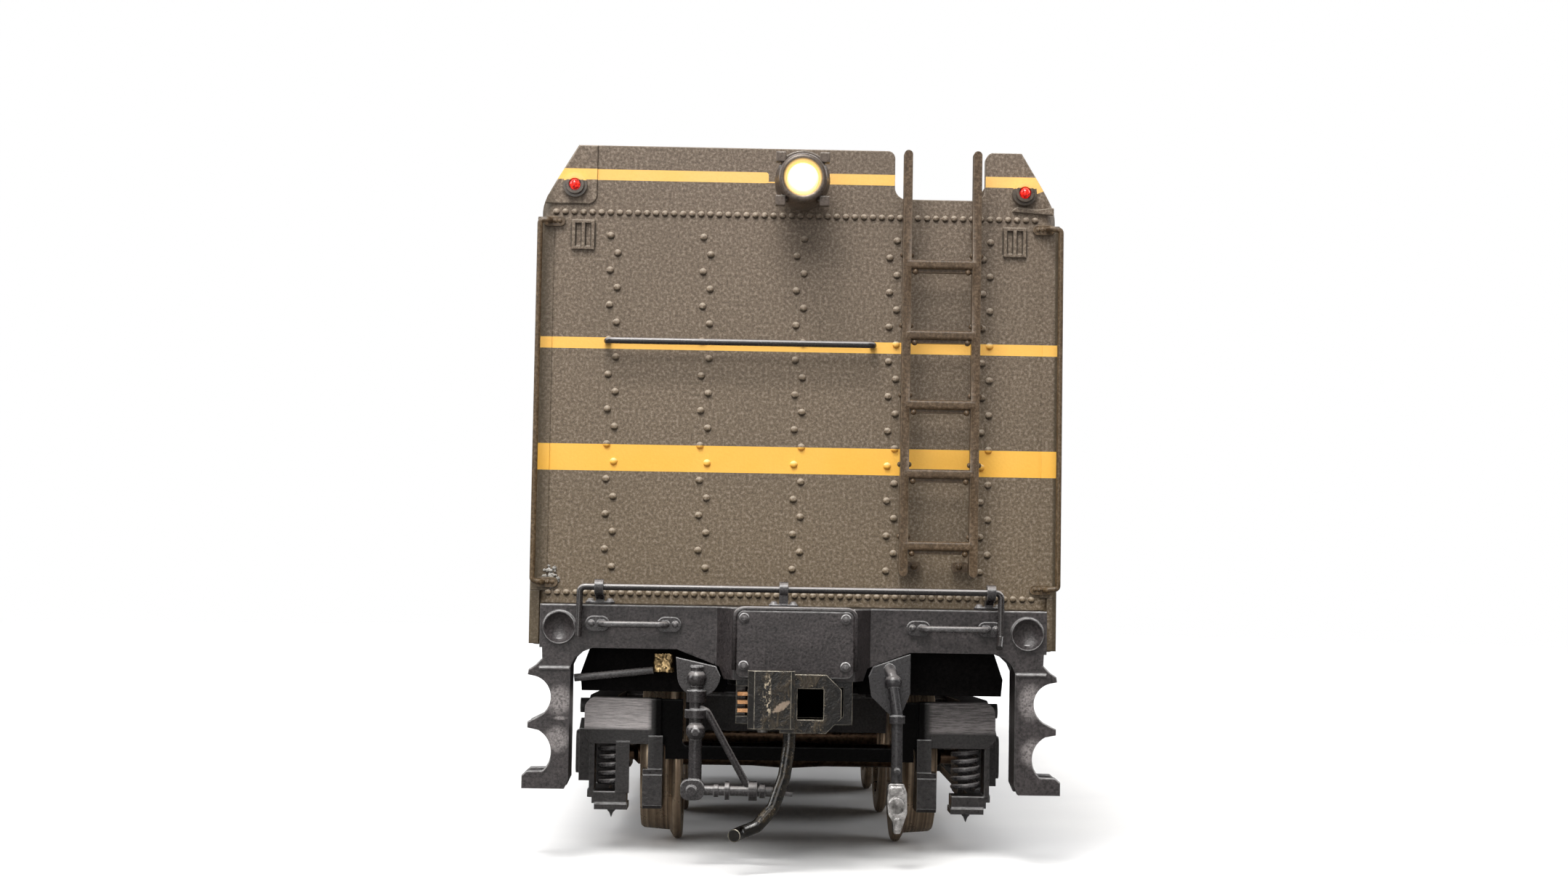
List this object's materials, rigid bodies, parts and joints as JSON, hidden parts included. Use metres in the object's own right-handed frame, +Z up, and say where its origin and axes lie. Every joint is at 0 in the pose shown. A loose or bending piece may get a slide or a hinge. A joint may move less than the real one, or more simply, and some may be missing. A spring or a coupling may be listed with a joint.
{
  "type": "model tank wagon",
  "caption": "Rectangular riveted water and coal wagon (locomotive tender) on two three-axle trucks, with end beam, corner steps, ladder, lamps, hoses, knuckle coupler and drawbar.",
  "frame": {"origin": "on the rail-head plane, at the middle of the tank's length and width", "axes": "+Z up, +Y forward towards the locomotive (the end with the drawbar), +X to the right seen from behind; the rear end with the coupler faces -Y"},
  "size_m": [0.0364, 0.1707, 0.0495],
  "materials": {
    "tank_paint": "satin olive brown-grey paint with painted stripes",
    "frame_metal": "satin charcoal paint on cast metal",
    "truck_metal": "satin charcoal paint, brushed on the flat faces",
    "black_wire": "black painted wire",
    "black_detail": "semi-gloss black moulding",
    "hose_rubber": "semi-gloss black rubber",
    "bright_metal": "bright silver",
    "brass": "bare brass",
    "lamp_metal": "dark bronze-brown satin",
    "lamp_glass": "warm white lit lens",
    "red_glass": "red lens",
    "coupler_metal": "glossy bronze-black casting",
    "bronze_spring": "phosphor bronze",
    "screw_steel": "blackened steel screw",
    "coal": "broken coal",
    "inner_plastic": "black plastic",
    "speaker_metal": "plated steel",
    "weight_metal": "bare cast weight",
    "board": "green circuit board",
    "axle_steel": "blackened steel axle",
    "wheel_metal": "bronze-brown metal wheel"
  },
  "bodies": {
    "tender_body": {"tank_shell": "tank_paint", "underframe": "frame_metal", "rear_end_frame": "frame_metal", "front_end_frame": "frame_metal", "end_cover_plate": "frame_metal", "end_cover_bolts": "frame_metal", "cut_lever": "black_wire", "cut_lever_brackets": "black_detail", "beam_grab_irons": "black_detail", "steam_connector": "black_detail", "brake_hose": "hose_rubber", "brake_hose_end": "bright_metal", "brake_rod_block": "brass", "brake_rod": "black_detail", "rear_ladder": "black_detail", "corner_handrails": "tank_paint", "rear_grab_iron": "black_wire", "front_handrails": "tank_paint", "backup_lamp_housing": "lamp_metal", "backup_lamp_lens": "lamp_glass", "marker_lamp_housings": "lamp_metal", "marker_lamp_lenses": "red_glass", "draft_gear_box": "coupler_metal", "draft_gear_screw": "screw_steel", "centering_spring": "bronze_spring", "drawbar_screw": "screw_steel", "body_screws": "screw_steel", "truck_screws": "screw_steel", "speaker_box": "inner_plastic", "speaker": "speaker_metal", "ballast_weight": "weight_metal", "decoder_board": "board", "lamp_board": "board"},
    "coal_insert": {"coal_load": "coal"},
    "hatch": {"water_hatch_lid": "tank_paint"},
    "drawbar": {"drawbar": "frame_metal"},
    "coupler": {"coupler_head": "coupler_metal", "knuckle_pin": "screw_steel", "trip_pin": "coupler_metal"},
    "knuckle": {"knuckle": "coupler_metal"},
    "rear_truck": {"truck_bolster_rear": "frame_metal", "truck_frame_rear": "truck_metal", "truck_springs_rear": "black_detail", "brake_shoes_rear": "truck_metal"},
    "front_truck": {"truck_bolster_front": "frame_metal", "truck_frame_front": "truck_metal", "truck_springs_front": "black_detail", "brake_shoes_front": "truck_metal"},
    "wheelset_1": {"wheelset_axle_1": "axle_steel", "wheelset_wheels_1": "wheel_metal"},
    "wheelset_2": {"wheelset_axle_2": "axle_steel", "wheelset_wheels_2": "wheel_metal"},
    "wheelset_3": {"wheelset_axle_3": "axle_steel", "wheelset_wheels_3": "wheel_metal"},
    "wheelset_4": {"wheelset_axle_4": "axle_steel", "wheelset_wheels_4": "wheel_metal"},
    "wheelset_5": {"wheelset_axle_5": "axle_steel", "wheelset_wheels_5": "wheel_metal"},
    "wheelset_6": {"wheelset_axle_6": "axle_steel", "wheelset_wheels_6": "wheel_metal"}
  },
  "joints": [
    {"name": "rear_truck_swivel", "type": "hinge", "parent": "tender_body", "child": "rear_truck", "pos_m": [0, -0.0465, 0.0104], "axis": [0, 0, 1], "range_deg": [-7, 7]},
    {"name": "front_truck_swivel", "type": "hinge", "parent": "tender_body", "child": "front_truck", "pos_m": [0, 0.0465, 0.0104], "axis": [0, 0, 1], "range_deg": [-7, 7]},
    {"name": "coupler_swing", "type": "hinge", "parent": "tender_body", "child": "coupler", "pos_m": [0, -0.0695, 0.00975], "axis": [0, 0, 1], "range_deg": [-8, 8]},
    {"name": "knuckle_open", "type": "hinge", "parent": "coupler", "child": "knuckle", "pos_m": [-0.00195, -0.081, 0.01], "axis": [0, 0, 1], "range_deg": [-30, 0]},
    {"name": "drawbar_swing", "type": "hinge", "parent": "tender_body", "child": "drawbar", "pos_m": [0, 0.06, 0.0105], "axis": [0, 0, 1], "range_deg": [-10, 10]},
    {"name": "hatch_open", "type": "hinge", "parent": "tender_body", "child": "hatch", "pos_m": [0, -0.0371, 0.04405], "axis": [1, 0, 0], "range_deg": [-110, 0]},
    {"name": "coal_lift", "type": "slide", "parent": "tender_body", "child": "coal_insert", "axis": [0, 0, 1], "range_m": [0, 0.015]},
    {"name": "wheelset_1_roll", "type": "hinge", "parent": "rear_truck", "child": "wheelset_1", "pos_m": [0, -0.064, 0.00525], "axis": [1, 0, 0], "continuous": true},
    {"name": "wheelset_2_roll", "type": "hinge", "parent": "rear_truck", "child": "wheelset_2", "pos_m": [0, -0.0465, 0.00525], "axis": [1, 0, 0], "continuous": true},
    {"name": "wheelset_3_roll", "type": "hinge", "parent": "rear_truck", "child": "wheelset_3", "pos_m": [0, -0.029, 0.00525], "axis": [1, 0, 0], "continuous": true},
    {"name": "wheelset_4_roll", "type": "hinge", "parent": "front_truck", "child": "wheelset_4", "pos_m": [0, 0.029, 0.00525], "axis": [1, 0, 0], "continuous": true},
    {"name": "wheelset_5_roll", "type": "hinge", "parent": "front_truck", "child": "wheelset_5", "pos_m": [0, 0.0465, 0.00525], "axis": [1, 0, 0], "continuous": true},
    {"name": "wheelset_6_roll", "type": "hinge", "parent": "front_truck", "child": "wheelset_6", "pos_m": [0, 0.064, 0.00525], "axis": [1, 0, 0], "continuous": true}
  ]
}
